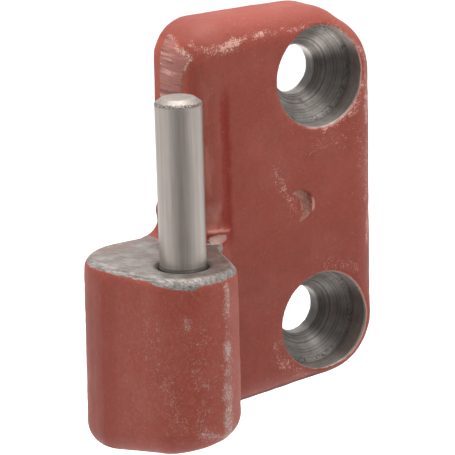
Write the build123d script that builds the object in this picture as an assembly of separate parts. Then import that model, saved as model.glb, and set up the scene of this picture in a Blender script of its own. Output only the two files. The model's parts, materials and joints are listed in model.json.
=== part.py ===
from build123d import *
import os
from math import cos, radians, sin, tan

# Pin half of a lift-off door hinge: a forged leaf and knuckle in one piece, with a pressed steel pin.
# X runs right across the leaf, Y from the leaf's front to its back face, Z up along the pin.
# The origin is on the back face, midway between the two screw holes. Sizes are in millimetres.

# Screw holes, one above the other
hole_spacing = 56.0
screw_hole_d = 11.0
head_d = 22.4
head_wall = 5.1
head_angle = 90.0

# Leaf, with its margins measured from the screw holes
leaf_thickness = 14.5
left_margin = 34.3
right_margin = 15.8
top_margin = 15.1
bottom_margin = 14.6
bottom_slope = 5.0
top_left_radius = 9.0
shoulder_run = 12.6
shoulder_drop = 8.5
shoulder_radius = 13.0
bottom_right_radius = 13.5
front_round = 7.0

# Shallow dimple in the middle of the leaf's front
dimple_x = -5.2
dimple_z = 0.4
dimple_d = 5.3
dimple_depth = 0.8

# Knuckle, measured from the pin's axis, the leaf's left side and the back face
pin_to_leaf = 9.0
pin_to_back = 25.2
seat_drop = 4.5
nose_r = 11.3
flank_draft = 16.2
side_draft = 1.4
corner_depth = 16.0
corner_width = 12.4
web_radius = 9.0
web_sink = 0.6
web_tail = 3.0
base_draft = 6.9
base_slope = 8.0
base_round = 5.5
seat_bevel = 1.4

# Root fillet between the knuckle's top and the leaf, cut back by the spot face round the pin
root_fillet = 4.5
spot_face_r = 16.5

# Pin, with a pressed shank a little larger than its running part, and the blind bore for it
pin_d = 10.0
shank_d = 10.5
pin_stand = 36.3
pin_seat = 30.0
shank_proud = 0.1
tip_bevel_r = 1.5
tip_bevel_h = 1.15
foot_bevel = 1.0
bore_bevel = 0.4

# Places worked out from the sizes above
tool_run = 1.0
upper_z = hole_spacing / 2
leaf_top = upper_z + top_margin
leaf_base = -upper_z - bottom_margin
slope_rise = tan(radians(bottom_slope))
leaf_left = -left_margin
base_left = leaf_base - left_margin * slope_rise
base_right = leaf_base + right_margin * slope_rise
front_y = -leaf_thickness
pin_r = pin_d / 2
shank_r = shank_d / 2
pin_x = leaf_left - pin_to_leaf
pin_y = -pin_to_back
seat_z = -seat_drop
shank_top = seat_z + shank_proud
bore_floor = seat_z - pin_seat


def corner_rounded(face, corner, radius):
    vertex = face.vertices().sort_by_distance(Vector(*corner))[0]
    return fillet(vertex, radius)


def turned(profile, x, y):
    # A solid of revolution about an upright axis, from a list of (radius, height) points
    section = make_face(Polyline(*profile, close=True))
    return Pos(x, y, 0) * revolve(Plane.XZ * section, Axis.Z)


def leaf():
    shoulder = [(right_margin - shoulder_run, leaf_top), (right_margin, leaf_top - shoulder_drop)]
    corners = [(leaf_left, leaf_top), *shoulder, (right_margin, base_right)]
    radii = [top_left_radius, shoulder_radius, shoulder_radius, bottom_right_radius]
    outline = make_face(Polyline(*corners, (leaf_left, base_left), close=True))
    for corner, radius in zip(corners, radii):
        outline = corner_rounded(outline, corner, radius)
    plate = extrude(Plane.XZ * outline, leaf_thickness)
    return fillet(plate.faces().sort_by(Axis.Y)[0].edges(), front_round)


def knuckle_plan(flare=0.0):
    # A round nose about the pin, flanks that widen with the forging's draft, a web that runs just into
    # the leaf's front, and a full corner on the left that runs on past the back face, to be faced off there.
    # The flare moves the left side out and leaves the right side where it is.
    lean = radians(flank_draft)
    round_r = nose_r + flare / 2
    nose_x = pin_x - flare / 2
    across = round_r * cos(lean)
    nose_y = pin_y - round_r * sin(lean)
    flank_x = nose_x - across - (-corner_depth - nose_y) * tan(lean)
    web_y = front_y + web_sink
    corner_x = nose_x + across + (web_y - nose_y) * tan(lean)
    web_run = web_radius * tan(radians(45 - flank_draft / 2))
    left_end = (nose_x - across, nose_y)
    right_end = (nose_x + across, nose_y)
    web_start = (corner_x - web_run * sin(lean), web_y - web_run * cos(lean))
    web_end = (corner_x + web_run, web_y)
    tail_x = corner_x + web_run + web_tail
    corner_start = (flank_x, -corner_depth)
    corner_end = (flank_x + corner_width, 0)
    corner = TangentArc(corner_start, corner_end, tangent=(-sin(lean), cos(lean)))
    run_on = corner % 1
    back_end = (tail_x, (tail_x - corner_end[0]) * run_on.Y / run_on.X)
    edges = [
        ThreePointArc(left_end, (nose_x, pin_y - round_r), right_end),
        Line(right_end, web_start),
        TangentArc(web_start, web_end, tangent=(sin(lean), cos(lean))),
        Polyline(web_end, (tail_x, web_y), back_end, corner_end),
        corner,
        Line(corner_start, left_end),
    ]
    return make_face(edges)


def knuckle(plan):
    # The underside leans with the draft, so it is deepest at the back and on the left. The round below
    # and the bevel above follow the nose and run on along both flanks.
    depth = seat_z - base_left + pin_to_back
    low_plan = knuckle_plan(depth * tan(radians(side_draft)))
    block = loft([Plane.XY.offset(seat_z) * plan, Plane.XY.offset(seat_z - depth) * low_plan], ruled=True)
    upright = (-tan(radians(base_slope)), tan(radians(base_draft)), 1)
    base = Plane((leaf_left, 0, base_left), x_dir=(0, 1, 0), z_dir=upright)
    block = split(block, bisect_by=base, keep=Keep.TOP)
    block = fillet(block.faces().sort_by(Axis.Z)[0].edges().sort_by(Axis.Y)[0], base_round)
    block = chamfer(block.faces().sort_by(Axis.Z)[-1].edges().sort_by(Axis.Y)[0], seat_bevel)
    return split(block, bisect_by=Plane.XZ, keep=Keep.TOP)


def root(plan):
    # A concave fillet along the leaf's left side, round its front corner and on to the web, kept inside
    # the knuckle's plan
    side_y = front_y + front_round
    edges = [
        Line((leaf_left, seat_z + root_fillet), (leaf_left, seat_z - seat_bevel)),
        Line((leaf_left, seat_z - seat_bevel), (leaf_left - root_fillet, seat_z - seat_bevel)),
        Line((leaf_left - root_fillet, seat_z - seat_bevel), (leaf_left - root_fillet, seat_z)),
        TangentArc((leaf_left - root_fillet, seat_z), (leaf_left, seat_z + root_fillet), tangent=(1, 0)),
    ]
    section = Plane.XZ.offset(-side_y) * make_face(edges)
    corner_axis = Axis((leaf_left + front_round, side_y, 0), (0, 0, 1))
    bead = extrude(section, side_y) + revolve(section, corner_axis, revolution_arc=90)
    front_run = plan.bounding_box().max.X - leaf_left - front_round
    bead += extrude(section.rotate(corner_axis, 90), front_run)
    column = extrude(Plane.XY.offset(seat_z - seat_bevel) * plan, seat_bevel + root_fillet)
    return bead & column


def countersink():
    neck_r = screw_hole_d / 2
    head_r = head_d / 2
    cone_start = front_y + head_wall
    cone_end = cone_start + (head_r - neck_r) / tan(radians(head_angle / 2))
    profile = [
        (0, tool_run),
        (neck_r, tool_run),
        (neck_r, cone_end),
        (head_r, cone_start),
        (head_r, front_y - tool_run),
        (0, front_y - tool_run),
    ]
    return revolve(make_face(Polyline(*profile, close=True)), Axis.Y)


def dimple():
    ball_r = (dimple_d**2 / 4 + dimple_depth**2) / (2 * dimple_depth)
    return Pos(dimple_x, front_y + dimple_depth - ball_r, dimple_z) * Sphere(ball_r)


def bore():
    mouth_r = shank_r + bore_bevel + tool_run
    profile = [
        (0, bore_floor),
        (shank_r, bore_floor),
        (shank_r, seat_z - bore_bevel),
        (mouth_r, seat_z + tool_run),
        (0, seat_z + tool_run),
    ]
    return turned(profile, pin_x, pin_y)


def hinge_body():
    plan = knuckle_plan()
    forging = leaf() + knuckle(plan) + root(plan)
    upward = (Align.CENTER, Align.CENTER, Align.MIN)
    forging -= Pos(pin_x, pin_y, seat_z) * Cylinder(spot_face_r, root_fillet + tool_run, align=upward)
    forging -= bore()
    forging -= dimple()
    for side in (-1, 1):
        forging -= Pos(0, 0, side * upper_z) * countersink()
    return forging


def hinge_pin():
    tip_z = seat_z + pin_stand
    profile = [
        (0, bore_floor),
        (shank_r - foot_bevel, bore_floor),
        (shank_r, bore_floor + foot_bevel),
        (shank_r, shank_top - shank_r + pin_r),
        (pin_r, shank_top),
        (pin_r, tip_z - tip_bevel_h),
        (pin_r - tip_bevel_r, tip_z),
        (0, tip_z),
    ]
    return turned(profile, pin_x, pin_y)


os.makedirs("parts", exist_ok=True)
export_step(hinge_body(), "parts/hinge_body.step")
export_step(hinge_pin(), "parts/hinge_pin.step")
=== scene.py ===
"""Dresses the pin half of a lift-off hinge: a forging in worn primer, a ground pin and a plain stage."""

import json
import math
from itertools import product

import bmesh
import bpy
import numpy as np
from bpy.props import FloatProperty, FloatVectorProperty, IntProperty, PointerProperty
from mathutils import Matrix, Vector
from mathutils.bvhtree import BVHTree
from mathutils.kdtree import KDTree


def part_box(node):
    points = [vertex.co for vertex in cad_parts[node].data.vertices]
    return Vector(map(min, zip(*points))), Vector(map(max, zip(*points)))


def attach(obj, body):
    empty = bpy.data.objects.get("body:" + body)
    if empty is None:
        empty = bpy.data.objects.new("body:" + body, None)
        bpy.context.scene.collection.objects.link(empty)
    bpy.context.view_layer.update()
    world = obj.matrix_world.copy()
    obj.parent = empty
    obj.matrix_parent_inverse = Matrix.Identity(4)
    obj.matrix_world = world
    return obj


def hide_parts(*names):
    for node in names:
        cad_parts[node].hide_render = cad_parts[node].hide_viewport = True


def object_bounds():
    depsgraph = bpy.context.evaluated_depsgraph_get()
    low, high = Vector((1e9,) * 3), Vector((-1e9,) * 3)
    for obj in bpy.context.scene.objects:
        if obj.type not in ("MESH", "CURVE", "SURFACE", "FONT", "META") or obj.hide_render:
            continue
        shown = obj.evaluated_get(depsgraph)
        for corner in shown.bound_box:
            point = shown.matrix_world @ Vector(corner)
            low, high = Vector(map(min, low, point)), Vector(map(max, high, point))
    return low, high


bl_info = {
    "name": "Primed Hinge Half",
    "version": (1, 0, 0),
    "blender": (4, 5, 0),
    "location": "View3D > Sidebar > Hinge",
    "description": "Dresses a forged lift-off hinge half in worn red primer and sets it on a plain stage",
    "category": "Object",
}

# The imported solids, and the places that are read from them, in millimetres
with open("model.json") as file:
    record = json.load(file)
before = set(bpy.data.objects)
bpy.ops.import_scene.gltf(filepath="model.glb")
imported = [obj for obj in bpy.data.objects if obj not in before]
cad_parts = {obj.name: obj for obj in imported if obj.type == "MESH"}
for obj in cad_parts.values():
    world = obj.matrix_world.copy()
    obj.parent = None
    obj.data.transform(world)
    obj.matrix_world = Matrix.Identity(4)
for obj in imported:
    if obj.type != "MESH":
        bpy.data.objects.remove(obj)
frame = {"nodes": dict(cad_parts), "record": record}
CAD_LOW, CAD_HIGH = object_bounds()
MM = 0.001


def solid_surface(node):
    """A CAD node's surface in millimetres, for probing it and for laying a finer skin on it."""
    mesh = frame["nodes"][node].data
    points = [vertex.co / MM for vertex in mesh.vertices]
    faces = [tuple(face.vertices) for face in mesh.polygons]
    return BVHTree.FromPolygons(points, faces)


def probe(surface, start, direction):
    """Where a straight line first meets a surface."""
    hit = surface.ray_cast(Vector(start), Vector(direction))[0]
    if hit is None:
        raise RuntimeError(f"the probe from {start} meets nothing")
    return hit


BODY = solid_surface("hinge_body")
MOUNTS = {mount["name"]: mount for mount in frame["record"]["mounts"]}
PIN = MOUNTS["pin"]
HOLE_Z = MOUNTS["screw_holes"]["dims"]["spacing_y_mm"] / 2
PIN_X, PIN_Y, PIN_MIDDLE_Z = (place / MM for place in PIN["pos_m"])
PIN_R = PIN["dims"]["r_mm"]
PIN_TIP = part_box("hinge_pin")[1].z / MM
FAR = 200.0
PLAIN_SPOT_X = -15.0
FRONT_Y = probe(BODY, (PLAIN_SPOT_X, -FAR, 0.4 * HOLE_Z), (0, 1, 0)).y
LEFT_X = probe(BODY, (-FAR, FRONT_Y / 4, HOLE_Z), (1, 0, 0)).x
SEAT_Z = probe(BODY, (PIN_X - 1.8 * PIN_R, PIN_Y, FAR), (0, 0, -1)).z
HEAD_R = probe(BODY, (0, FRONT_Y + 2, HOLE_Z), (1, 0, 0)).x
LOW_Z = CAD_LOW.z / MM
TIP_EDGE_Z = PIN_MIDDLE_Z + PIN["dims"]["length_mm"] / 2

# The forging's marks: places, reaches, and how far they stand out or lie deep, in millimetres
SIDE_LEAN = 0.024
CREASE = (-57.7, -16.0)
CREASE_REACH = 3.4
NOSE_RIDGE = (-39.7, -35.9)
RIDGE_REACH = 2.6
RIDGE_RISE = 0.30
KNUCKLE_BODY = (SEAT_Z - 1.5, SEAT_Z - 4.0)
POOL_X = -25.2
GROOVE_REACH = 0.8
GROOVE_DEPTH = 0.20
SPOT_FACE_R = 16.5
BEVEL_DIP = (-48.0, -35.8)
BEVEL_DROP = 1.05
DIP_DEPTH = 1.3
DIP_RUN = 9
LUMP = (-34.4, -0.8, 0.6)
LUMP_STRETCH = (1.0, 0.5, 0.45)
LUMP_RISE = 0.85
LUMP_BACK = (-0.05, -0.7)
BEAD = (-30.0, -15.0, -0.6)
BEAD_REACH = (6.0, 2.5)
BEAD_RISE = 0.34
CHIP = (-6.5, -0.2)
CHIP_R = 3.6
CHIP_DEPTH = 0.55
CHIP_WALL = (-0.1, 0.3)
CHIP_SLOPE = (0.0, 2.4)
CHIP_HEEL = (-9.2, -0.9)
CHIP_HEEL_R = 3.3
BURR_RISE = 0.16
BURR_OUT = 0.35
BURR_REACH = 0.3
BURR_ENDS = (2.0, 3.2)
CUT_FOOT = (-28.3, -16.0, -3.75)
CUT_FOOT_SPAN = (2.7, 2.6, 1.1)
LIP_Z = CUT_FOOT[2] + 1.6
LIP_REACH = (4.5, 3.0)
LIP_HALF = 0.5
LIP_RISE = 0.40
LIP_FRONT = (FRONT_Y + 0.4, FRONT_Y - 0.2)
CONE_Y = -9.4
SCRAPE_Z = (22.0, 26.0, 29.4, 33.8, 36.4, 38.0, 39.8, 40.6)
SCRAPE_Y = (-8.0, -9.8, -10.6, -11.2, -12.2, -9.8, -5.3, -3.4)
SCRAPE_BACK = (-2.7, -3.7)
SCRAPE_SOFT = (-1.6, 1.6)
SCRAPED_SIDE = (LEFT_X + 5.0, LEFT_X + 3.5)
CORNER_TURN = (-120.0, -80.0, 0.0, 30.0)
RIM_LAND = (3.4, 0.6)
RIM_RAISE = 0.9
RIM_WALL = (CONE_Y, CONE_Y - 2.5)

# Where a layer of the look sets in, from nothing to full, as two places on one axis in millimetres
LEAF_FRONT = (FRONT_Y + 2.0, FRONT_Y + 1.2)
HOLE_EDGE = (HEAD_R + 0.16, HEAD_R + 0.08)
LIT_RIM_REACH = (HEAD_R + 0.5, HEAD_R + 0.25)
HEAD_WALL = (CONE_Y, CONE_Y - 0.4)
UPPER_HOLE = (-5, 5)
KNUCKLE_STEEL = (-15.5, -18)
KNUCKLE_SCUFFS = (-17, -22)
KNUCKLE_PAINTED_LIGHT = (-17, -24)
LEAF_ONLY = (-17, -15)
BELOW_SEAT = (SEAT_Z + 2, SEAT_Z - 2)
LOW_FRONT_PAINTED_SHADE = (5, -20)
ROOT_X = (PIN_X + 8, PIN_X + 9)
ROOT_R = (SPOT_FACE_R + 0.4, SPOT_FACE_R + 0.8)
NEAR_KNUCKLE = (34, 31)
SEAT_BACK = (-9, -4)
SEAT_RIGHT = (PIN_X + 4, PIN_X + 9)
PIN_FOOT_GRIME_AND_SHADOW = (1.36 * PIN_R, 1.16 * PIN_R)
LEFT_SIDE_PAINTED_LIGHT = (LEFT_X + 2.0, LEFT_X + 1.0)
STRIP_FOOT = (0, 8)
TOP_EDGE = (38, 42)
TOP_LEFT = (-18, -28)
PALE_UPWARD_Z = (30, 38)
POOL_FOOT = (SEAT_Z - 4, SEAT_Z + 1)
GROOVE_FOOT = (SEAT_Z - 2, SEAT_Z + 4)
POOL_TOP = (31, 24)
SHEEN_LEFT = (LEFT_X + 2.5, LEFT_X + 4.5)
SHEEN_RIGHT = (POOL_X - 0.8, POOL_X - 2.2)
SHEEN_FOOT = (-22, -18)
SHEEN_TOP = (36, 31)
SHEEN_BACK = (-5, -9)
SHEEN_BAND_Z = 1.9
SPECKS_TOP = (36, 30)
SCRAPE_FADE = (21, 29)
PEEL_FRONT = (-8.5, -10.5)
PEEL_FOOT = (23, 27)
BRIGHT_FRONT = (-10.5, -8.0)
BRIGHT_FOOT = (24, 28)
BRIGHT_TOP = (38, 35)
CUT_GLINT = (-28.6, -30.2)

# The finer skin: joining the solid's faces, its sharp edges and their wear, and where the forged skin ends
JOIN_GAP = 1e-6
SHARP_ANGLE = math.radians(40)
EDGE_SPACING = 0.3
EDGE_HOLD = (0.35, 1.0)
EDGE_REACH = (1.0, 0.1)
EDGE_WEAR = 0.36
ABOVE_SEAT = (SEAT_Z + 1, SEAT_Z + 2)
RELAX_ROUNDS = 6
SKIN_END = (0.9, 0.4)

# Depth of the finest marks, which are bump, and the primer's gloss
SKIN_BUMP = {"Strength": 0.6, "Distance": 0.00012}
PIN_BUMP = {"Strength": 0.25, "Distance": 0.00005}
PRIMER_SPECULAR = 0.35

# The pin's bevelled tip, the chipped edge below it and the dark foot of dirt and painted shadow, as ranges
# of height; and the chips
TIP_FACE = (PIN_TIP - 1.4, PIN_TIP - 1.0)
CHIPPED_FROM = (PIN_TIP - 1.7, PIN_TIP - 1.25)
CHIPPED_TO = (PIN_TIP - 0.7, PIN_TIP - 1.0)
FOOT_GRIME_AND_SHADOW = (SEAT_Z + 0.7, SEAT_Z + 0.1)
TIP_CHIP_REACH = 0.35
TIP_CHIP_CELL = 0.7

# Stage: the floor in metres, where its shade and the tent's open side fade, the lamps' places and sizes in
# millimetres, and the camera
FLOOR_HALF = 3.0
FLOOR_ROUGHNESS = 0.9
FLOOR_NEAR = (0.0, 0.03)
FLOOR_FAR = (0.03, 0.15)
OPENING_SOFT = (-0.25, 0.2)
OPENING_TOP = (0.85, 0.5)
RIGHT_SIDE = (0.2, 0.9)
OVERHEAD_LAMP = ((-20, 20, 620), 460)
FRONT_LAMP = ((70, -430, 560), 300)
SENSOR_WIDTH = 36.0
CAMERA_REACH = 20.0

# Numbers that scramble the cells of a lattice
CELL_PRIMES = (73856093, 19349663, 83492791)
SEED_PRIME = 2654435761
MIX_PRIME = 1274126177

# Lines of wear: start, end, reach and strength
WEAR_LINES = (
    ((-31.5, -11.3, 38.9), (-29.2, -13.7, 37.5), 1.0, 0.40),
    ((-29.2, -13.7, 37.5), (-25.5, -14.0, 37.8), 1.2, 0.44),
    ((-25.0, -14.2, 37.4), (-21.8, -14.0, 38.7), 1.3, 0.70),
    ((-21.8, -14.0, 38.7), (-14.5, -13.5, 39.6), 0.9, 0.46),
    ((-14.5, -13.5, 39.6), (5.0, -13.3, 38.8), 0.9, 0.42),
    ((5.0, -13.3, 38.8), (12.6, -12.8, 31.0), 1.3, 0.42),
    ((12.9, -13.2, 30.0), (12.8, -13.3, 16.0), 1.3, 0.46),
    ((12.8, -13.3, 12.0), (12.6, -13.5, -2.0), 1.5, 0.34),
    ((13.2, -13.0, -3.0), (12.6, -13.5, -12.0), 1.1, 0.42),
    ((-32.2, -5.3, 39.8), (-33.1, -9.8, 37.8), 0.7, 0.66),
    ((-33.1, -9.8, 37.8), (-32.0, -12.4, 36.4), 0.8, 0.72),
    ((-32.0, -12.4, 36.4), (-33.0, -11.5, 33.8), 0.5, 0.55),
    ((-39.7, -35.9, -7.5), (-40.2, -36.1, -40.0), 1.3, 0.46),
    ((-39.9, -36.0, -20.0), (-40.2, -36.1, -40.0), 1.9, 0.50),
    ((-46.5, -36.3, -38.5), (-39.0, -35.5, -40.5), 1.4, 0.44),
    ((-12.5, -14.5, 8.5), (-8.0, -14.5, 0.0), 1.6, 0.30),
    ((-13.0, -14.5, -31.5), (-11.0, -14.4, -36.0), 2.0, 0.30),
    ((-11.0, -14.4, -36.0), (-4.0, -13.4, -40.6), 1.7, 0.32),
    ((1.0, -14.5, -14.6), (9.0, -14.3, -17.0), 1.6, 0.20),
    ((-49.0, -35.0, -13.0), (-48.5, -35.2, -15.0), 0.9, 0.52),
    ((-54.0, -28.0, -16.0), (-51.0, -33.5, -36.0), 4.0, 0.22),
    ((-47.0, -36.0, -18.0), (-46.0, -36.4, -40.0), 4.0, 0.22),
    ((1.0, -14.5, 16.2), (8.6, -14.5, 19.4), 1.2, 0.46),
    ((8.6, -14.5, 19.4), (12.2, -13.6, 26.0), 1.3, 0.46),
    ((9.0, -14.3, 15.0), (12.0, -13.8, 5.0), 2.6, 0.21),
    ((-2.0, -14.5, 12.0), (7.0, -14.5, 13.5), 2.2, 0.19),
)


def smooth_step(low, high, values):
    """Zero below low, one above high, and a smooth rise between them."""
    part = np.clip((values - low) / (high - low), 0, 1)
    return part * part * (3 - 2 * part)


def lattice_noise(points, cell, seed):
    """Smooth noise from -1 to 1 that varies over about one cell."""
    grid = points / cell
    base = np.floor(grid).astype(np.int64)
    part = grid - base
    part = part**3 * (part * (part * 6 - 15) + 10)
    total = np.zeros(len(points))
    for corner in product((0, 1), repeat=3):
        index = base + np.array(corner)
        first, second, third = (index * np.array(CELL_PRIMES)).T
        key = first ^ second ^ third ^ seed * SEED_PRIME
        key = (key ^ (key >> 13)) * MIX_PRIME & 0x7FFFFFFF
        value = ((key ^ (key >> 15)) & 0xFFFF) / 32767.5 - 1
        weight = np.prod(np.where(np.array(corner) == 1, part, 1 - part), axis=1)
        total += value * weight
    return total


def near_line(points, start, end):
    """Each point's distance from the straight line between two places."""
    start = np.array(start, float)
    along = np.array(end, float) - start
    share = np.clip((points - start) @ along / (along @ along), 0, 1)
    return np.linalg.norm(points - start - share[:, None] * along, axis=1)


class Wire:
    """A shader socket that does sums: an expression on wires adds its Math nodes to the tree."""

    def __init__(self, tree, socket=None):
        self.tree = tree
        self.socket = socket

    def node(self, kind, settings, sockets, output=0):
        """Adds a node, with its settings first and then its sockets' values or links."""
        made = self.tree.nodes.new(kind)
        for name, value in settings.items():
            setattr(made, name, value)
        for key, value in sockets.items():
            if isinstance(value, Wire):
                self.tree.links.new(value.socket, made.inputs[key])
            else:
                made.inputs[key].default_value = value
        return Wire(self.tree, made.outputs[output])

    def math(self, operation, first, *others):
        """Adds a Math node."""
        return self.node("ShaderNodeMath", {"operation": operation}, dict(enumerate((first, *others))))

    def __add__(self, other):
        return self.math("ADD", self, other)

    __radd__ = __add__

    def __sub__(self, other):
        return self.math("SUBTRACT", self, other)

    def __rsub__(self, other):
        return self.math("SUBTRACT", other, self)

    def __mul__(self, other):
        return self.math("MULTIPLY", self, other)

    __rmul__ = __mul__

    def __truediv__(self, other):
        return self.math("DIVIDE", self, other)

    def __pow__(self, other):
        return self.math("POWER", self, other)

    def __abs__(self):
        return self.math("ABSOLUTE", self)

    def least(self, other):
        return self.math("MINIMUM", self, other)

    def most(self, other):
        return self.math("MAXIMUM", self, other)

    def rise(self, low, high):
        """Zero at low, one at high, smooth between; high may be the smaller."""
        sockets = {"Value": self, "From Min": low, "From Max": high}
        return self.node("ShaderNodeMapRange", {"interpolation_type": "SMOOTHSTEP"}, sockets)

    def swing(self, height):
        """Noise from about 0 to 1, turned into a shift to both sides of zero."""
        return height * (self - 0.5)

    def place(self):
        """The place on the piece, in millimetres."""
        return self.node("ShaderNodeTexCoord", {}, {}, "Object").scaled(1 / MM, 1 / MM, 1 / MM)

    def mask(self, name):
        """A mask that the mesh carries."""
        return self.node("ShaderNodeAttribute", {"attribute_name": name}, {}, "Fac")

    def axes(self):
        """The three numbers of a vector."""
        split = self.node("ShaderNodeSeparateXYZ", {}, {0: self})
        outputs = split.socket.node.outputs
        return [Wire(self.tree, outputs[i]) for i in range(3)]

    def scaled(self, x, y, z):
        """A vector with each axis stretched by its own factor."""
        return self.node("ShaderNodeVectorMath", {"operation": "MULTIPLY"}, {0: self, 1: (x, y, z)})

    def noise(self, cell, detail=2.0, roughness=0.5, stretch=(1, 1, 1)):
        """Noise over cells of this size in millimetres, about 0 to 1, on a place in millimetres."""
        place = self if stretch == (1, 1, 1) else self.scaled(*stretch)
        sockets = {"Vector": place, "Scale": 1 / cell, "Detail": detail, "Roughness": roughness}
        return self.node("ShaderNodeTexNoise", {}, sockets)

    def tint(self, other, amount):
        """This colour, turned towards the other by an amount from 0 to 1."""
        target = other if isinstance(other, Wire) else opaque(other)
        return self.node("ShaderNodeMix", {"data_type": "RGBA"}, {0: amount, 6: self, 7: target}, 2)

    def colour(self, value):
        """A colour to start a mix from."""
        made = self.node("ShaderNodeRGB", {}, {})
        made.socket.default_value = opaque(value)
        return made

    def multiplied(self, amount):
        """This colour made darker or lighter by a factor."""
        sockets = {0: self, "Scale": amount}
        return self.node("ShaderNodeVectorMath", {"operation": "SCALE"}, sockets)


def opaque(colour):
    """A colour with full alpha."""
    return (*colour, 1.0)


def gap(first, second, middle):
    """The distance from a point, in the plane of two wires."""
    return ((first - middle[0]) ** 2 + (second - middle[1]) ** 2) ** 0.5


def new_material(name):
    """A material, with its node tree and its shader."""
    material = bpy.data.materials.new(name)
    material.use_nodes = True
    return material, material.node_tree, material.node_tree.nodes["Principled BSDF"]


def feed(tree, shader, wires):
    """Links wires to the shader's sockets of the same names."""
    for name, wire in wires.items():
        tree.links.new(wire.socket, shader.inputs[name])


def number_property(name, description, default, **limits):
    """A number to set in the panel, with its limits, unit or subtype."""
    return FloatProperty(name=name, description=description, default=default, **limits)


def colour_property(name, description, default):
    """A colour to set in the panel."""
    return FloatVectorProperty(
        name=name, description=description, subtype="COLOR", size=3, default=default, min=0, max=1
    )


class HingeForgingSettings(bpy.types.PropertyGroup):
    """Sizes and colours of the primed forging."""

    step: number_property("Skin step", "Spacing of the forging's fine mesh, in millimetres", 0.47, min=0.3)
    wave: number_property(
        "Forging wave", "Height of the slow unevenness of the forged faces, in millimetres", 0.10
    )
    ripple: number_property(
        "Skin ripple", "Height of the small lumps of the forged and painted skin, in millimetres", 0.045
    )
    crease: number_property(
        "Crease", "Height of the forging's crease on the knuckle's left side, in millimetres", 0.45
    )
    primer: colour_property("Primer", "Colour of the red-oxide primer", (0.243, 0.0418, 0.0252))
    primer_pale: colour_property(
        "Chalked primer", "Colour of the primer where it is thin or chalky", (0.30, 0.078, 0.055)
    )
    primer_deep: colour_property(
        "Pooled primer", "Colour of the primer where it has pooled thickly", (0.209, 0.013, 0.004)
    )
    # Also the colour of the painted sheen, the painted highlights on the holes' rims and the root's lip, and
    # the bright scratches
    fleck_and_highlight: colour_property(
        "Worn flecks", "Colour of the pale flecks where the primer is chipped", (0.56, 0.30, 0.25)
    )
    worn: colour_property(
        "Worn steel", "Colour of the steel that shows through on the knuckle", (0.41, 0.29, 0.255)
    )
    scraped: colour_property(
        "Scraped patch", "Colour of the scraped patch high on the leaf's corner", (0.37, 0.155, 0.13)
    )
    cut: colour_property(
        "Fresh cut", "Colour of the clean steel where the spot face cuts into the root", (0.36, 0.275, 0.235)
    )
    # Dirt and painted shadow in the gap round the pin's foot
    foot_grime_and_shadow: colour_property("Grime", "Colour of the dirt round the pin's foot", (0.04, 0.032, 0.028))
    steel: colour_property("Bare steel", "Colour of the worn and machined steel", (0.44, 0.41, 0.385))
    rust: colour_property("Rust", "Colour of the rust in the holes and on the primer", (0.16, 0.085, 0.05))


class HingePinSettings(bpy.types.PropertyGroup):
    """Sizes and colours of the pin."""

    turns: IntProperty(name="Segments", description="Flats round the pin", default=160, min=24)
    row: number_property("Row", "Height of the rows of faces along the pin, in millimetres", 0.6, min=0.1)
    edge_break: number_property(
        "Edge break", "How far the pin's edges are broken, in millimetres", 0.2, min=0
    )
    chip: number_property(
        "Tip chips", "Depth of the chips round the edge of the pin's tip, in millimetres", 0.10
    )
    steel: colour_property("Ground steel", "Colour of the ground pin", (0.33, 0.294, 0.267))
    # Dirt and painted shadow in the gap round the pin's foot
    foot_grime_and_shadow: colour_property("Grime", "Colour of the dirt at the pin's foot", (0.05, 0.04, 0.034))
    browned: colour_property("Browned chips", "Colour of the chips at the pin's tip", (0.10, 0.065, 0.05))


class HingeStageSettings(bpy.types.PropertyGroup):
    """The floor, lights and camera."""

    floor_drop: number_property("Floor drop", "How far the floor lies below the hinge, in millimetres", 60.0)
    floor: colour_property("Floor", "Colour of the plain floor", (0.92, 0.92, 0.92))
    floor_shade: colour_property(
        "Floor shade", "Colour that the floor shades off to on the camera's side", (0.24, 0.24, 0.24)
    )
    tent: number_property("Tent", "Brightness of the pale tent round the hinge", 1.07, min=0)
    opening: number_property(
        "Opening", "Brightness of the tent's open side, where the camera stands", 0.55, min=0
    )
    opening_azimuth: number_property(
        "Opening azimuth",
        "Where the middle of the tent's open side is, to the left of straight in front",
        math.radians(31.0),
        subtype="ANGLE",
    )
    shade_edge: number_property(
        "Shade edge", "Cosine of the angle from the camera at which the floor's shade ends", 0.5
    )
    opening_edge: number_property(
        "Opening edge", "Cosine of the angle from the camera at which the open side ends", 0.88
    )
    right_dim: number_property(
        "Right dim",
        "Share of its light that the tent loses on the right",
        0.15,
        min=0,
        max=1,
        subtype="FACTOR",
    )
    overhead: number_property(
        "Overhead lamp", "Power of the soft lamp above the hinge", 4.65, min=0, unit="POWER"
    )
    front_top: number_property(
        "Front lamp", "Power of the smaller soft lamp above and in front", 0.7, min=0, unit="POWER"
    )
    azimuth: number_property(
        "Azimuth",
        "How far the camera stands to the left of straight in front",
        math.radians(32.286),
        subtype="ANGLE",
    )
    elevation: number_property(
        "Elevation", "How far the camera stands above the hinge", math.radians(15.708), subtype="ANGLE"
    )
    roll: number_property("Roll", "How far the camera leans", math.radians(-1.595), subtype="ANGLE")
    distance: number_property("Distance", "From the camera to the point it looks at, in millimetres", 591.1)
    aim: FloatVectorProperty(
        name="Aim",
        description="The point that the camera looks at, in millimetres",
        size=3,
        default=(-11.58, 7.24, -8.99),
    )
    lens: number_property("Lens", "Focal length in millimetres on a sensor 36 mm wide", 205.7, unit="CAMERA")


def shown(name, data):
    """A new object in the scene, with its mesh, lamp or camera."""
    thing = bpy.data.objects.new(name, data)
    bpy.context.scene.collection.objects.link(thing)
    return thing


def merged_solid(node):
    """A CAD node as one closed mesh in millimetres, with the ends of its faces joined."""
    joined = bmesh.new()
    joined.from_mesh(frame["nodes"][node].data)
    bmesh.ops.remove_doubles(joined, verts=joined.verts, dist=JOIN_GAP)
    bmesh.ops.scale(joined, vec=(1 / MM,) * 3, verts=joined.verts)
    return joined


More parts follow.
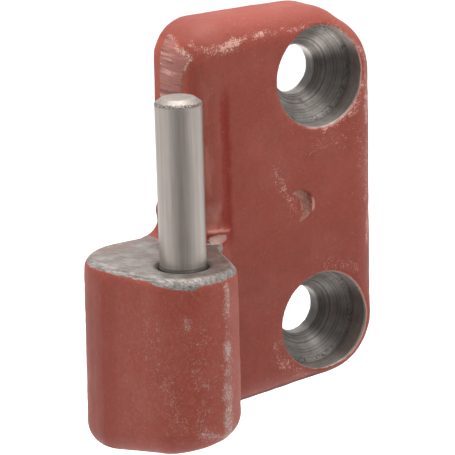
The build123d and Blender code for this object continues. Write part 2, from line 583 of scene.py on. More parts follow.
def sharp_outer_edges(joined, least_angle, spacing):
    """Points along the edges that stand out by more than an angle, as a tree to look them up in."""
    places = []
    for edge in joined.edges:
        if len(edge.link_faces) == 2 and edge.calc_face_angle_signed() > least_angle:
            start, end = (vertex.co for vertex in edge.verts)
            count = 1 + int(edge.calc_length() / spacing)
            places += [start.lerp(end, i / count) for i in range(count + 1)]
    tree = KDTree(len(places))
    for i, place in enumerate(places):
        tree.insert(place, i)
    tree.balance()
    return tree


def even_skin(joined, step):
    """A mesh of even, small faces over a closed one."""
    rough = bpy.data.meshes.new("rough_skin")
    joined.to_mesh(rough)
    work = shown("rough_skin", rough)
    remesh = work.modifiers.new("even", "REMESH")
    remesh.mode = "VOXEL"
    remesh.voxel_size = step
    graph = bpy.context.evaluated_depsgraph_get()
    even = bpy.data.meshes.new_from_object(work.evaluated_get(graph))
    bpy.data.objects.remove(work)
    bpy.data.meshes.remove(rough)
    return even


def points_of(mesh):
    """The mesh's points as an array."""
    points = np.empty(len(mesh.vertices) * 3, np.float32)
    mesh.vertices.foreach_get("co", points)
    return points.reshape(-1, 3).astype(float)


def normals_of(mesh):
    """The mesh's normals as an array, one for each point."""
    mesh.update()
    normals = np.empty(len(mesh.vertices) * 3, np.float32)
    mesh.vertex_normals.foreach_get("vector", normals)
    return normals.reshape(-1, 3).astype(float)


def set_points(mesh, points):
    """Moves the mesh's points to the given places."""
    mesh.vertices.foreach_set("co", points.astype(np.float32).ravel())
    mesh.update()


def relaxed(mesh, points, rounds, share=0.5):
    """The points drawn towards the middle of their neighbours, which evens out steps and sharp edges."""
    pairs = np.empty(len(mesh.edges) * 2, np.int32)
    mesh.edges.foreach_get("vertices", pairs)
    first, second = pairs.reshape(-1, 2).T
    count = np.bincount(pairs, minlength=len(points))[:, None]
    for _ in range(rounds):
        total = np.zeros_like(points)
        for axis in range(3):
            total[:, axis] += np.bincount(first, points[second, axis], len(points))
            total[:, axis] += np.bincount(second, points[first, axis], len(points))
        points = points + share * (total / count - points)
    return points


def set_mask(mesh, name, values):
    """Keeps a value from 0 to 1 for each point, for the material to read."""
    layer = mesh.attributes.new(name, "FLOAT", "POINT")
    layer.data.foreach_set("value", np.clip(values, 0, 1).astype(np.float32))


def hole_distance(points):
    """How far each point is from the axis of the nearer screw hole."""
    return np.hypot(points[:, 0], np.abs(points[:, 2]) - HOLE_Z)


def machined_share(points):
    """One on the faces that were machined after forging, zero on the forged skin."""
    far, near = SKIN_END
    holes = smooth_step(HEAD_R + far, HEAD_R + near, hole_distance(points))
    back = smooth_step(-far, -near, points[:, 1])
    off_leaf = np.maximum(LEFT_X - points[:, 0], FRONT_Y - points[:, 1])
    seat = smooth_step(SEAT_Z - far, SEAT_Z - near, points[:, 2]) * smooth_step(0.5, 1.0, off_leaf)
    return np.maximum(np.maximum(holes, back), seat)


def skin_waves(points, settings):
    """The unevenness of the forged skin: slow waves, and the small lumps of scale and paint."""
    layers = (
        (settings.wave, 12.0),
        (0.6 * settings.wave, 5.0),
        (settings.ripple, 2.2),
        (0.5 * settings.ripple, 1.1),
    )
    waves = sum(height * lattice_noise(points, cell, seed) for seed, (height, cell) in enumerate(layers, 1))
    return waves * (1 - machined_share(points))


def knuckle_relief(points, settings):
    """The crease on the knuckle's left side, and the ridge on its nose."""
    x, y, z = points.T
    low = smooth_step(*KNUCKLE_BODY, z)
    lean = SIDE_LEAN * (SEAT_Z - z)
    crease = np.hypot(x - CREASE[0] + lean, y - CREASE[1])
    ridge = np.hypot(x - NOSE_RIDGE[0], y - NOSE_RIDGE[1])
    relief = settings.crease * low * np.clip(1 - crease / CREASE_REACH, 0, 1)
    return relief + RIDGE_RISE * low * np.clip(1 - ridge / RIDGE_REACH, 0, 1)


def leaf_relief(points, normals):
    """The groove under the pooled primer, and the chip in the leaf's middle with its burr."""
    x, y, z = points.T
    groove = np.exp(-(((x - POOL_X) / GROOVE_REACH) ** 2)) * smooth_step(-0.8, -0.95, normals[:, 1])
    groove *= smooth_step(*GROOVE_FOOT, z) * smooth_step(*POOL_TOP, z)
    inside = CHIP_R - np.hypot(x - CHIP[0], z - CHIP[1])
    heel = np.hypot(x - CHIP_HEEL[0], z - CHIP_HEEL[1]) - CHIP_HEEL_R
    chip = CHIP_DEPTH * smooth_step(*CHIP_WALL, inside) * smooth_step(*CHIP_SLOPE, heel)
    burr = BURR_RISE * np.exp(-(((inside + BURR_OUT) / BURR_REACH) ** 2)) * smooth_step(*BURR_ENDS, heel)
    return (burr - chip) * smooth_step(*LEAF_FRONT, y) - GROOVE_DEPTH * groove


def root_relief(points):
    """The beads and the lip at the end of the root fillet, and the lump on the leaf's left side."""
    x, y, z = points.T
    beads = smooth_step(*BEAD_REACH, np.linalg.norm(points - np.array(BEAD), axis=1))
    beads = beads * lattice_noise(points, 1.6, 5)
    lip = np.exp(-(((z - LIP_Z) / LIP_HALF) ** 2)) * smooth_step(*LIP_REACH, np.abs(x - CUT_FOOT[0]))
    lip = lip * smooth_step(*LIP_FRONT, y) * (0.7 + 0.3 * lattice_noise(points, 1.3, 6))
    lump = np.linalg.norm((points - np.array(LUMP)) * LUMP_STRETCH, axis=1)
    lump = np.exp(-(lump**2)) * (x < LEFT_X + 0.5) * smooth_step(*LUMP_BACK, y)
    return BEAD_RISE * beads + LIP_RISE * lip + LUMP_RISE * lump


def forged_relief(points, normals, settings):
    """How far the forged skin stands out from the plain solid."""
    waves = skin_waves(points, settings) + knuckle_relief(points, settings)
    return waves + leaf_relief(points, normals) + root_relief(points)


def rim_raised(points):
    """The points with the lower hole's rim brought flush with the leaf's front at the rounded corner."""
    x, y, z = points.T
    turn = np.degrees(np.arctan2(z + HOLE_Z, x))
    corner = smooth_step(*CORNER_TURN[:2], turn) * smooth_step(*CORNER_TURN[:1:-1], turn)
    land = smooth_step(HEAD_R + RIM_LAND[0], HEAD_R + RIM_LAND[1], np.hypot(x, z + HOLE_Z))
    land = land * smooth_step(*RIM_WALL, y)
    rise = np.clip(y - FRONT_Y, 0, RIM_RAISE)
    return np.column_stack([x, y - corner * land * rise, z])


def wear_share(points, edge_gap):
    """How worn the primer is: on the sharp edges, and along the lines where it was knocked."""
    wear = EDGE_WEAR * smooth_step(*EDGE_REACH, edge_gap) * smooth_step(*ABOVE_SEAT, points[:, 2])
    for start, end, reach, strength in WEAR_LINES:
        wear = np.maximum(wear, strength * np.exp(-((near_line(points, start, end) / reach) ** 2)))
    return wear * (0.9 + 0.3 * lattice_noise(points, 3.0, 8))


def scrape_share(points):
    """The patch high on the leaf's left corner that was scraped to the steel."""
    x, y, z = points.T
    front = np.interp(z, SCRAPE_Z, SCRAPE_Y)
    across = smooth_step(*SCRAPE_SOFT, y - front) * smooth_step(*SCRAPE_BACK, y)
    upright = smooth_step(SCRAPE_Z[0], SCRAPE_Z[1], z) * smooth_step(SCRAPE_Z[-1], SCRAPE_Z[-2], z)
    side = smooth_step(*SCRAPED_SIDE, x)
    return across * upright * side


class SkinWires:
    """The places, masks and noise that the layers of the forging's look share."""

    def __init__(self, tree):
        self.start = Wire(tree)
        self.place = self.start.place()
        self.axes = self.place.axes()
        self.wear = self.start.mask("wear")
        self.scrape = self.start.mask("scrape")
        self.facing = self.start.node("ShaderNodeNewGeometry", {}, {}, "Normal").axes()
        self.ragged = self.place.noise(2.6, 3.0, 0.6)
        self.crumble = self.place.noise(0.55, 3.0, 0.65)
        self.stain = self.place.noise(3.0, 4.0, 0.65)
        self.mottle = self.place.noise(9.0, 3.0, 0.55)
        self.grain = self.place.noise(0.7, 4.0, 0.78)
        self.scratch = self.place.noise(0.6, 2.0, 0.5, (0.05, 0.05, 1.0))
        x, y, z = self.axes
        self.off_leaf = (LEFT_X - x).most(FRONT_Y - y)
        self.pin_r = gap(x, y, (PIN_X, PIN_Y))
        self.hole_r = gap(x, abs(z), (0.0, HOLE_Z))


def hole_share(skin):
    """One in the screw holes, up to a slightly ragged rim."""
    edge = (skin.hole_r - skin.crumble.swing(0.35)).rise(*HOLE_EDGE)
    return edge * skin.facing[1].rise(0.7, 0.5)


def seat_share(skin):
    """One on the knuckle's machined seat and its filed bevel, which dips at the front."""
    x, y, z = skin.axes
    across = x - BEVEL_DIP[0]
    dip = (1 + across / DIP_RUN).most(0.0).least(1.0) * (1 - 0.7 * across.rise(0.3, 2.6))
    dip = dip * y.rise(BEVEL_DIP[1] + 9, BEVEL_DIP[1] + 4)
    bevel_foot = SEAT_Z - BEVEL_DROP - DIP_DEPTH * dip + skin.ragged.swing(0.8) + skin.crumble.swing(0.4)
    seat = (z - bevel_foot).rise(-0.08, 0.08) * z.rise(SEAT_Z + 0.3, SEAT_Z + 0.12)
    seat = seat * skin.off_leaf.rise(0.3, 0.6) * (1 - x.rise(*ROOT_X) * skin.pin_r.rise(*ROOT_R))
    left_over = y.rise(*SEAT_BACK) * skin.ragged.rise(0.44, 0.56) * skin.crumble.rise(0.42, 0.56)
    return seat * skin.pin_r.rise(*NEAR_KNUCKLE) * (1 - 0.7 * left_over)


def cut_share(skin, foot_r):
    """One on the clean steel where the spot face runs into the root, and along its low wall."""
    x, _, z = skin.axes
    foot = (foot_r + skin.crumble.swing(0.7)).rise(1.0, 0.9) * z.rise(SEAT_Z + 0.1, SEAT_Z + 0.3)
    wall = abs(skin.pin_r - SPOT_FACE_R).rise(0.55, 0.35) * z.rise(SEAT_Z - 0.2, SEAT_Z) * z.rise(0.2, -0.4)
    return foot.most(wall * skin.off_leaf.rise(-0.4, 0.0) * x.rise(LEFT_X + 0.6, LEFT_X + 0.2))


def fleck_share(skin):
    """Flecks of lost primer, which crowd together where the wear is."""
    field = skin.place.noise(0.31, 2.0, 0.6) * 0.64 + skin.place.noise(1.2, 3.0, 0.6) * 0.36
    field = field + 0.30 * skin.wear + 0.02 * skin.stain
    return field.rise(0.62, 0.68) * (0.4 + 0.6 * skin.wear.rise(0.02, 0.25))


def peeled_shares(skin):
    """The bare part of the scraped patch, and the torn primer along its front edge."""
    _, y, z = skin.axes
    peeling = skin.scrape + skin.ragged.swing(1.5) + skin.crumble.swing(1.3)
    reach = skin.scrape.rise(0.01, 0.10)
    torn = abs(peeling - 0.40).rise(0.15, 0.05) * reach * y.rise(*PEEL_FRONT) * z.rise(*PEEL_FOOT)
    return peeling.rise(0.40, 0.58) * reach, torn


def plain_primer(skin, settings):
    """The primer with broad mottling, fine grain and random tone, with painted light that makes the knuckle
    and the leaf's left side paler, painted shade on the leaf's lower front, and a darker top edge at the
    left.
    """
    x, y, z = skin.axes
    primer = skin.start.colour(settings.primer)
    primer = primer.tint(settings.primer_pale, skin.mottle.rise(0.4, 0.75) * 0.4)
    # Painted light: paler on the knuckle and on the leaf's left side; painted shade: darker on the leaf's
    # lower front
    shift = 1 + 0.07 * y.rise(*KNUCKLE_PAINTED_LIGHT) - 0.12 * z.rise(*LOW_FRONT_PAINTED_SHADE) * y.rise(*LEAF_ONLY)
    shift = shift + 0.34 * x.rise(*LEFT_SIDE_PAINTED_LIGHT) * z.rise(*STRIP_FOOT)
    shift = (shift - 0.12 * z.rise(*TOP_EDGE) * x.rise(*TOP_LEFT)) * (0.90 + 0.20 * skin.ragged)
    return primer.multiplied((0.62 + 0.76 * skin.grain) * shift)


def pooled_primer(primer, skin, settings):
    """A painted sheen of pale light beside the leaf's left corner, streaked and brighter in a band low down;
    a touch paler on the faces that look up near the top; and next to the sheen the deep line where the
    primer pooled.
    """
    x, y, z = skin.axes
    sheen_zone = x.rise(*SHEEN_LEFT) * x.rise(*SHEEN_RIGHT) * (z + y).rise(*SHEEN_FOOT)
    sheen_zone = sheen_zone * z.rise(*SHEEN_TOP) * y.rise(*SHEEN_BACK)
    runs = skin.place.noise(2.4, 3.0, 0.6, (1.0, 1.0, 0.16))
    # Painted sheen: a streaked pale haze of light on the rounded corner, with a brighter band low down
    sheen = sheen_zone * (0.03 + 0.20 * runs.rise(0.42, 0.72) + 0.20 * abs(z - SHEEN_BAND_Z).rise(3.0, 0.8))
    # A touch paler on the faces that look up near the top
    paler_upward = 0.016 * skin.facing[2].rise(0.5, 0.9) * z.rise(*PALE_UPWARD_Z)
    pool = abs(x - POOL_X + skin.ragged.swing(1.8) + skin.crumble.swing(0.8)).rise(1.7, 0.5)
    pool = pool * skin.facing[1].rise(-0.75, -0.93) * z.rise(*POOL_FOOT) * z.rise(*POOL_TOP)
    return primer.tint(settings.fleck_and_highlight, sheen + paler_upward).tint(settings.primer_deep, pool)


def soiled_primer(primer, worn, skin, settings):
    """Scuffs on the knuckle, rusty specks, and a haze round the worn places."""
    _, y, z = skin.axes
    scuff = skin.place.noise(0.9, 4.0, 0.75).rise(0.48, 0.75) * y.rise(*KNUCKLE_SCUFFS)
    specks = skin.place.noise(0.5, 3.0, 0.7).rise(0.56, 0.66) * skin.stain.rise(0.44, 0.60)
    specks = specks * 0.45 * skin.facing[1].rise(0.2, -0.2) * z.rise(*SPECKS_TOP)
    haze = skin.wear.rise(0.15, 0.6) * (0.10 + 0.30 * z.rise(*BELOW_SEAT))
    return primer.tint(worn, scuff * 0.16).tint(settings.rust, specks).tint(worn, haze)


def scraped_primer(primer, scraped, torn, skin, settings):
    """The scraped patch with its scores and bright streaks, and the dark torn edge of the primer."""
    _, y, z = skin.axes
    scored = 0.62 + 0.36 * skin.crumble
    scored = scored + 0.30 * skin.scratch.rise(0.54, 0.66) - 0.45 * skin.scratch.rise(0.44, 0.36)
    bare = skin.start.colour(settings.scraped).multiplied(scored)
    bright = skin.scratch.rise(0.55, 0.64) * skin.crumble.rise(0.36, 0.56) * y.rise(*BRIGHT_FRONT)
    bright = scraped * bright * z.rise(*BRIGHT_FOOT) * z.rise(*BRIGHT_TOP)
    primer = primer.tint(bare, scraped * z.rise(*SCRAPE_FADE) * 0.8)
    return primer.tint(settings.fleck_and_highlight, bright * 0.9).tint(settings.rust, torn * 0.7)


def chipped_primer(primer, worn, fleck, skin, settings):
    """The chip in the leaf's middle, a crescent with a burr, then the flecks and a painted highlight on the
    right of the holes' worn rims.
    """
    x, y, z = skin.axes
    inside = CHIP_R - gap(x, z, CHIP)
    heel = gap(x, z, CHIP_HEEL) - CHIP_HEEL_R
    front = y.rise(*LEAF_FRONT)
    chip = (inside + skin.crumble.swing(0.5)).rise(-0.05, 0.12) * front
    chip = chip * (heel + skin.crumble.swing(2.4)).rise(0.3, 0.9)
    burr = abs(inside + 0.3).rise(0.35, 0.1) * abs(z - CHIP[1]).rise(2.0, 0.8) * heel.rise(2.0, 3.0) * front
    fleck = fleck * (0.60 + 0.32 * skin.wear.rise(0.24, 0.42))
    # Painted highlight: the holes' worn rims made pale on their right side, where light catches the bare
    # edge
    rim = (skin.hole_r - skin.crumble.swing(0.3)).rise(*LIT_RIM_REACH) * y.rise(CONE_Y, CONE_Y - 1.0)
    rim = rim * (x + 0.4 * (HOLE_Z - abs(z))).rise(-3, 3) * skin.ragged.rise(0.3, 0.5)
    primer = primer.tint(settings.rust, chip * 0.55)
    primer = primer.tint(worn, chip * (0.10 + 0.35 * skin.crumble.rise(0.4, 0.7)))
    return primer.tint(worn, fleck.most(burr * 0.85)).tint(settings.fleck_and_highlight, rim * 0.7)


def root_primer(primer, skin, settings):
    """The deep, lipped primer at the end of the root fillet with a painted highlight along the lip, and the
    clean cut of the spot face with a painted glint towards its left.
    """
    x, _, z = skin.axes
    middle = skin.start.node("ShaderNodeVectorMath", {"operation": "SUBTRACT"}, {0: skin.place, 1: CUT_FOOT})
    middle = middle.scaled(*(1 / span for span in CUT_FOOT_SPAN))
    foot_r = skin.start.node("ShaderNodeVectorMath", {"operation": "LENGTH"}, {0: middle}, "Value")
    deep = foot_r.rise(1.7, 1.1) * skin.off_leaf.rise(-0.5, 0.2)
    # Painted highlight along the lip's top edge
    lip = abs(z - LIP_Z - 0.1 - skin.ragged.swing(1.6)).rise(0.5, 0.1)
    lip = lip * abs(x - CUT_FOOT[0]).rise(*LIP_REACH)
    lip = lip * skin.off_leaf.rise(-0.2, 0.3) * skin.pin_r.rise(*NEAR_KNUCKLE)
    # Painted glint on the cut towards its left
    cut = cut_share(skin, foot_r) * (0.34 + 0.40 * skin.crumble + 0.38 * x.rise(*CUT_GLINT))
    primer = primer.tint(settings.primer_deep, deep * 0.8)
    return primer.tint(settings.fleck_and_highlight, lip * 0.36).tint(settings.cut, cut)


def hole_tone(skin, turning):
    """How light the steel is in the screw holes: ring marks; a painted highlight on the rim; painted light
    on the upper part of the wall and on the whole upper hole; painted shade on the right of the wall; a
    lighter head wall; and dirt at the foot of the wall.
    """
    x, y, z = skin.axes
    near = skin.hole_r.most(1.0)
    rise = z - HOLE_Z * skin.start.math("SIGN", z)
    side = (x * 0.95 - rise * 0.3) / near
    # Painted light on the upper part of each hole's wall, stronger in the upper hole
    upper_wall_lit = (0.3 + 1.3 * z.rise(*UPPER_HOLE)) * (rise / near).rise(0.2, 0.9) * side.rise(-0.1, 0.5)
    rim = abs(skin.hole_r - HEAD_R).rise(0.45, 0.1) * y.rise(FRONT_Y + 1.0, FRONT_Y + 0.4)
    dirt = abs(y - CONE_Y - 0.35).rise(1.0, 0.3) * skin.crumble.rise(0.46, 0.58) * skin.stain.rise(0.42, 0.6)
    tone = 0.06 + 0.92 * turning.rise(0.2, 0.8) * (0.1 + 1.5 * skin.ragged) + 0.34 * skin.stain
    # Painted shade on the right of the wall, and painted light on its upper part
    tone = tone * (1 - 0.66 * side.rise(0.55, 0.9)) * (1 + upper_wall_lit)
    # Painted light on the whole upper hole; the head wall lighter
    tone = tone * (1 + 0.2 * z.rise(*UPPER_HOLE)) * (1 + 0.25 * y.rise(*HEAD_WALL))
    # Dirt at the foot of the wall, and a painted highlight on the rim
    return tone * (1 - 0.7 * dirt) + 0.5 * rim


def seat_tone(skin, along, streak, smudge, bevel):
    """How light the steel of the seat is: streaked and scored by the cutter, with a rough, filed bevel that
    painted shade makes a little darker, with bright file marks.
    """
    scores = along.noise(0.32, 2.0, 0.5).rise(0.60, 0.70)
    tone = 0.28 + 0.60 * streak.rise(0.2, 0.8) + 0.26 * skin.stain + 0.3 * scores
    # Painted shade: the bevel a little darker; its file marks bright
    filed = 0.96 - 0.16 * bevel + 0.36 * bevel * scores.most(streak.rise(0.4, 0.7))
    return tone * (0.84 + 0.16 * smudge) * filed


def primed_forging_material(settings):
    """Red-oxide primer on a forged skin, with bare steel where it is machined, worn or scraped."""
    material, tree, shader = new_material("worn_red_primer")
    skin = SkinWires(tree)
    start = skin.start
    x, y, z = skin.axes
    hole = hole_share(skin)
    seat = seat_share(skin)
    machined = hole.most(seat)
    painted = 1 - machined

    # Primer, layer on layer
    fleck = fleck_share(skin)
    scraped, torn = peeled_shares(skin)
    # Painted shade on the leaf's faces that look down: darker, and rougher
    under = skin.facing[2].rise(-0.60, -0.90) * y.rise(*LEAF_ONLY)
    worn = start.colour(settings.fleck_and_highlight)
    worn = worn.tint(settings.worn, z.rise(*BELOW_SEAT) * y.rise(*KNUCKLE_STEEL))
    primer = pooled_primer(plain_primer(skin, settings), skin, settings)
    primer = soiled_primer(primer, worn, skin, settings)
    primer = scraped_primer(primer, scraped, torn, skin, settings)
    primer = chipped_primer(primer, worn, fleck, skin, settings)
    # Painted shade darkens the faces that look down
    primer = root_primer(primer.multiplied(1 - 0.8 * under), skin, settings)

    # Bare steel: turned in the screw holes, streaked on the seat, browned here and there
    turning = start.node("ShaderNodeCombineXYZ", {}, {0: skin.hole_r, 1: y, 2: 0.0}).noise(0.4, 3.0, 0.75)
    along = start.node("ShaderNodeCombineXYZ", {}, {0: 0.06 * x - 0.14 * y, 1: 0.93 * x + 0.37 * y, 2: z})
    streak = along.noise(0.5, 4.0, 0.7)
    smudge = skin.place.noise(6.0, 3.0, 0.6).rise(0.42, 0.62)
    bevel = skin.facing[2].rise(0.97, 0.85)
    tone = hole * hole_tone(skin, turning) + (1 - hole) * seat_tone(skin, along, streak, smudge, bevel)
    rust = hole * skin.stain.rise(0.56, 0.72) * skin.crumble.rise(0.42, 0.6)
    rust = rust * 0.8 + hole * (0.07 + 0.18 * y.rise(*HEAD_WALL))
    brown = 0.10 + 0.20 * (1 - smudge) + 0.3 * x.rise(*SEAT_RIGHT)
    brown = seat * brown * skin.facing[2].rise(0.8, 0.97) + 0.09 * bevel * seat
    # Dirt and painted shadow in a dark ring round the pin's foot
    foot_grime_and_shadow = skin.pin_r.rise(*PIN_FOOT_GRIME_AND_SHADOW) * seat
    steel = start.colour(settings.steel).multiplied(tone).tint(settings.rust, rust + brown)
    steel = steel.tint(settings.foot_grime_and_shadow, foot_grime_and_shadow * 0.9)

    # Primer and steel together
    roughness = painted * (0.52 + 0.2 * skin.grain + 0.4 * under)
    roughness = roughness + machined * (0.36 + 0.25 * skin.stain + 0.2 * bevel * seat)
    skin_height = 0.7 * skin.grain + 0.3 * skin.mottle - 0.35 * fleck - 0.5 * scraped * skin.scratch
    height = skin_height * painted + machined * (0.34 * turning * hole + 0.45 * streak)
    wires = {
        "Base Color": primer.tint(steel, machined),
        "Metallic": machined * (1 - foot_grime_and_shadow) * (0.85 - 0.4 * hole),
        "Roughness": roughness,
        "Normal": start.node("ShaderNodeBump", {}, {**SKIN_BUMP, "Height": height}),
    }
    feed(tree, shader, wires)
    shader.inputs["Specular IOR Level"].default_value = PRIMER_SPECULAR
    return material


def ground_pin_material(settings):
    """Bare steel with fine grinding marks along it, a mottled tip and a chipped, browned edge below it."""
    material, tree, shader = new_material("ground_pin_steel")
    start = Wire(tree)
    place = start.place()
    z = place.axes()[2]
    lengthwise = place.noise(0.5, 3.0, 0.6, (1.0, 1.0, 0.03))
    cloud = place.noise(6.0, 3.0, 0.6)
    speck = place.noise(0.35, 2.0, 0.6)
    blot = place.noise(1.6, 3.0, 0.6)
    tip = z.rise(*TIP_FACE)
    chips = z.rise(*CHIPPED_FROM) * z.rise(*CHIPPED_TO) * (speck + 0.1).rise(0.52, 0.62)
    steel = start.colour(settings.steel)
    steel = steel.multiplied(0.84 + 0.26 * lengthwise.rise(0.2, 0.8) + 0.2 * cloud)
    steel = steel.multiplied(1 - (0.30 - 0.36 * blot) * tip)
    # Dirt and painted shadow at the pin's foot
    steel = steel.tint(settings.foot_grime_and_shadow, z.rise(*FOOT_GRIME_AND_SHADOW) * 0.85)
    wires = {
        "Base Color": steel.tint(settings.browned, chips * 0.8),
        "Roughness": 0.32 + 0.16 * cloud + 0.3 * chips + 0.2 * tip,
        "Metallic": 1 - 0.6 * chips,
        "Normal": start.node("ShaderNodeBump", {}, {**PIN_BUMP, "Height": lengthwise}),
    }
    feed(tree, shader, wires)
    return material


def turned_profile(node):
    """The (radius, height) points of a CAD node turned about the pin's axis, from foot to tip."""
    mesh = frame["nodes"][node].data
    points = points_of(mesh) / MM
    radii = np.hypot(points[:, 0] - PIN_X, points[:, 1] - PIN_Y)
    pairs = {(round(height, 2), round(radius, 2)) for radius, height in zip(radii, points[:, 2])}
    return [(radius, height) for height, radius in sorted(pairs)]


def fine_profile(profile, edge_break, row):
    """The profile with its corners broken, its runs split into rows and its ends closed on the axis."""
    corners = [(0.0, profile[0][1]), *profile, (0.0, profile[-1][1])]
    broken = [Vector(corners[0])]
    for before, corner, after in zip(corners, corners[1:], corners[2:]):
        middle = Vector(corner)
        for neighbour in (before, after):
            run = Vector(neighbour) - middle
            broken.append(middle + run.normalized() * min(edge_break, 0.4 * run.length))
    broken.append(Vector(corners[-1]))
    fine = [broken[0]]
    for place in broken[1:]:
        start = fine[-1]
        count = max(1, round((place - start).length / row))
        fine += [start.lerp(place, i / count) for i in range(1, count + 1)]
    return [(place.x, place.y) for place in fine]


def lathe(name, profile, turns):
    """A closed mesh turned about the pin's axis."""
    rings = [place for place in profile if place[0] > 1e-6]
    points = [(PIN_X, PIN_Y, profile[0][1]), (PIN_X, PIN_Y, profile[-1][1])]
    for radius, height in rings:
        for i in range(turns):
            angle = 2 * math.pi * i / turns
            points.append((PIN_X + radius * math.cos(angle), PIN_Y + radius * math.sin(angle), height))
    faces = []
    for i in range(turns):
        following = (i + 1) % turns
        faces.append((0, 2 + following, 2 + i))
        for ring in range(len(rings) - 1):
            low = 2 + ring * turns
            faces.append((low + i, low + following, low + turns + following, low + turns + i))
        last = 2 + (len(rings) - 1) * turns
        faces.append((1, last + i, last + following))
    mesh = bpy.data.meshes.new(name)
    mesh.from_pydata(points, [], faces)
    return mesh


def tip_damage(points, chip):
    """Small chips and burrs along the lower edge of the pin's bevel."""
    edge = np.exp(-(((points[:, 2] - TIP_EDGE_Z) / TIP_CHIP_REACH) ** 2))
    radii = np.hypot(points[:, 0] - PIN_X, points[:, 1] - PIN_Y)
    return chip * edge * lattice_noise(points, TIP_CHIP_CELL, 7) * (radii > 0.5 * PIN_R)


class HINGE_OT_forging(bpy.types.Operator):
    """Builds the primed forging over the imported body"""

    bl_idname = "hinge.forging"
    bl_label = "Forging"

    def execute(self, context):
        settings = context.scene.hinge_forging
        joined = merged_solid("hinge_body")
        edges = sharp_outer_edges(joined, SHARP_ANGLE, EDGE_SPACING)
        mesh = even_skin(joined, settings.step)
        joined.free()
        points = relaxed(mesh, points_of(mesh), RELAX_ROUNDS)
        edge_gap = np.array([edges.find(point)[2] for point in points])
        on_solid = np.array([BODY.find_nearest(point)[0] for point in points])
        hold = smooth_step(*EDGE_HOLD, edge_gap)[:, None]
        points = rim_raised(points + hold * (on_solid - points))
        set_points(mesh, points)
        normals = normals_of(mesh)
        points = points + normals * forged_relief(points, normals, settings)[:, None]
        set_points(mesh, points)
        set_mask(mesh, "wear", wear_share(points, edge_gap))
        set_mask(mesh, "scrape", scrape_share(points))
        mesh.transform(Matrix.Scale(MM, 4))
        mesh.shade_smooth()
        forging = shown("primed_forging", mesh)
        mesh.materials.clear()
        mesh.materials.append(primed_forging_material(settings))
        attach(forging, "root")
        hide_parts("hinge_body")
        return {"FINISHED"}


class HINGE_OT_pin(bpy.types.Operator):
    """Turns the ground pin, with its worn tip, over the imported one"""

    bl_idname = "hinge.pin"
    bl_label = "Pin"

    def execute(self, context):
        settings = context.scene.hinge_pin
        profile = fine_profile(turned_profile("hinge_pin"), settings.edge_break, settings.row)
        mesh = lathe("turned_pin", profile, settings.turns)
        points = points_of(mesh)
        normals = normals_of(mesh)
        points = points + normals * tip_damage(points, settings.chip)[:, None]
        set_points(mesh, points)
        mesh.transform(Matrix.Scale(MM, 4))
        mesh.shade_smooth()
        mesh.materials.append(ground_pin_material(settings))
        pin = shown("turned_pin", mesh)
        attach(pin, "root")
        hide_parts("hinge_pin")
        return {"FINISHED"}


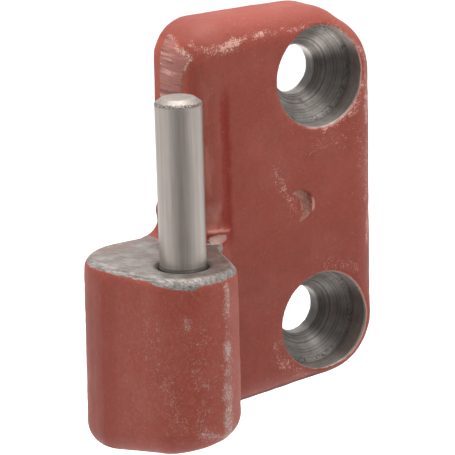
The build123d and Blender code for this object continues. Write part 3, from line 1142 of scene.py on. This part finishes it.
class HINGE_OT_stage(bpy.types.Operator):
    """Sets up the floor, the soft lights and the camera"""

    bl_idname = "hinge.stage"
    bl_label = "Stage"

    def execute(self, context):
        settings = context.scene.hinge_stage
        self.floor(settings)
        self.camera(settings)
        self.surroundings(settings)
        self.lamp("overhead", *OVERHEAD_LAMP, settings.overhead)
        self.lamp("front_top", *FRONT_LAMP, settings.front_top)
        context.scene.view_settings.view_transform = "Standard"
        return {"FINISHED"}

    def floor(self, settings):
        """A plain floor, pale round the hinge and shaded off on the camera's side."""
        height = (LOW_Z - settings.floor_drop) * MM
        corners = [(x * FLOOR_HALF, y * FLOOR_HALF, height) for x, y in ((-1, -1), (1, -1), (1, 1), (-1, 1))]
        mesh = bpy.data.meshes.new("floor")
        mesh.from_pydata(corners, [], [(0, 1, 2, 3)])
        material, tree, shader = new_material("plain_floor")
        shader.inputs["Roughness"].default_value = FLOOR_ROUGHNESS
        start = Wire(tree)
        x, y, _ = start.node("ShaderNodeTexCoord", {}, {}, "Object").axes()
        spread = x * x + y * y
        edge = settings.shade_edge + (settings.opening_edge - settings.shade_edge) * spread.rise(*FLOOR_FAR)
        shade = self.open_side(x, y, settings.opening_azimuth, edge) * spread.rise(*FLOOR_NEAR)
        tone = start.colour(settings.floor).tint(settings.floor_shade, shade)
        feed(tree, shader, {"Base Color": tone})
        mesh.materials.append(material)
        shown("floor", mesh)

    def camera(self, settings):
        """A camera at the photograph's viewing angle."""
        azimuth, elevation, roll = settings.azimuth, settings.elevation, settings.roll
        level = math.cos(elevation)
        back = Vector((-math.sin(azimuth) * level, -math.cos(azimuth) * level, math.sin(elevation)))
        right = Vector((math.cos(azimuth), -math.sin(azimuth), 0))
        up = back.cross(right)
        leaned_right = right * math.cos(roll) + up * math.sin(roll)
        leaned_up = up * math.cos(roll) - right * math.sin(roll)
        data = bpy.data.cameras.new("camera")
        data.sensor_width = SENSOR_WIDTH
        data.lens = settings.lens
        data.clip_end = CAMERA_REACH
        camera = shown("camera", data)
        turn = Matrix((leaned_right, leaned_up, back)).transposed().to_4x4()
        place = (Vector(settings.aim) + back * settings.distance) * MM
        camera.matrix_world = Matrix.Translation(place) @ turn
        bpy.context.scene.camera = camera

    def open_side(self, x, y, azimuth, edge):
        """One towards the camera and zero to the sides, from a direction seen from above."""
        level = (x * x + y * y) ** 0.5
        ahead = (x * -math.sin(azimuth) + y * -math.cos(azimuth)) / level.most(0.0001)
        return ahead.rise(edge + OPENING_SOFT[0], edge + OPENING_SOFT[1])

    def surroundings(self, settings):
        """A pale tent that is darker on the open side, where the camera stands."""
        world = bpy.data.worlds.new("tent")
        bpy.context.scene.world = world
        world.use_nodes = True
        tree = world.node_tree
        start = Wire(tree)
        x, y, z = start.node("ShaderNodeTexCoord", {}, {}, "Generated").axes()
        opening = self.open_side(x, y, settings.opening_azimuth, settings.opening_edge)
        opening = opening * z.rise(*OPENING_TOP)
        strength = settings.tent - (settings.tent - settings.opening) * opening
        strength = strength * (1 - settings.right_dim * x.rise(*RIGHT_SIDE))
        background = tree.nodes["Background"]
        background.inputs["Color"].default_value = (1, 1, 1, 1)
        tree.links.new(strength.socket, background.inputs["Strength"])

    def lamp(self, name, place, size, power):
        """A soft round lamp that shines on the hinge."""
        data = bpy.data.lights.new(name, "AREA")
        data.shape = "DISK"
        data.size = size * MM
        data.energy = power
        lamp = shown(name, data)
        lamp.location = Vector(place) * MM
        lamp.rotation_mode = "QUATERNION"
        lamp.rotation_quaternion = (-lamp.location).to_track_quat("-Z", "Y")


# Each group of settings, by its name on the scene, and the operator that builds from it
GROUPS = {
    "hinge_forging": (HingeForgingSettings, HINGE_OT_forging),
    "hinge_pin": (HingePinSettings, HINGE_OT_pin),
    "hinge_stage": (HingeStageSettings, HINGE_OT_stage),
}


class HINGE_PT_panel(bpy.types.Panel):
    """Lists the pieces of the hinge half and their settings"""

    bl_label = "Hinge Half"
    bl_idname = "HINGE_PT_panel"
    bl_space_type = "VIEW_3D"
    bl_region_type = "UI"
    bl_category = "Hinge"

    def draw(self, context):
        for name, (_, operator) in GROUPS.items():
            column = self.layout.column(align=True)
            column.operator(operator.bl_idname)
            settings = getattr(context.scene, name)
            for key in settings.__annotations__:
                column.prop(settings, key)


CLASSES = [kind for group in GROUPS.values() for kind in group] + [HINGE_PT_panel]


def register():
    for kind in CLASSES:
        bpy.utils.register_class(kind)
    for name, (settings, _) in GROUPS.items():
        setattr(bpy.types.Scene, name, PointerProperty(type=settings))


def unregister():
    for name in GROUPS:
        delattr(bpy.types.Scene, name)
    for kind in reversed(CLASSES):
        bpy.utils.unregister_class(kind)


def main():
    register()
    bpy.ops.hinge.forging()
    bpy.ops.hinge.pin()
    bpy.ops.hinge.stage()


if __name__ == "__main__":
    main()
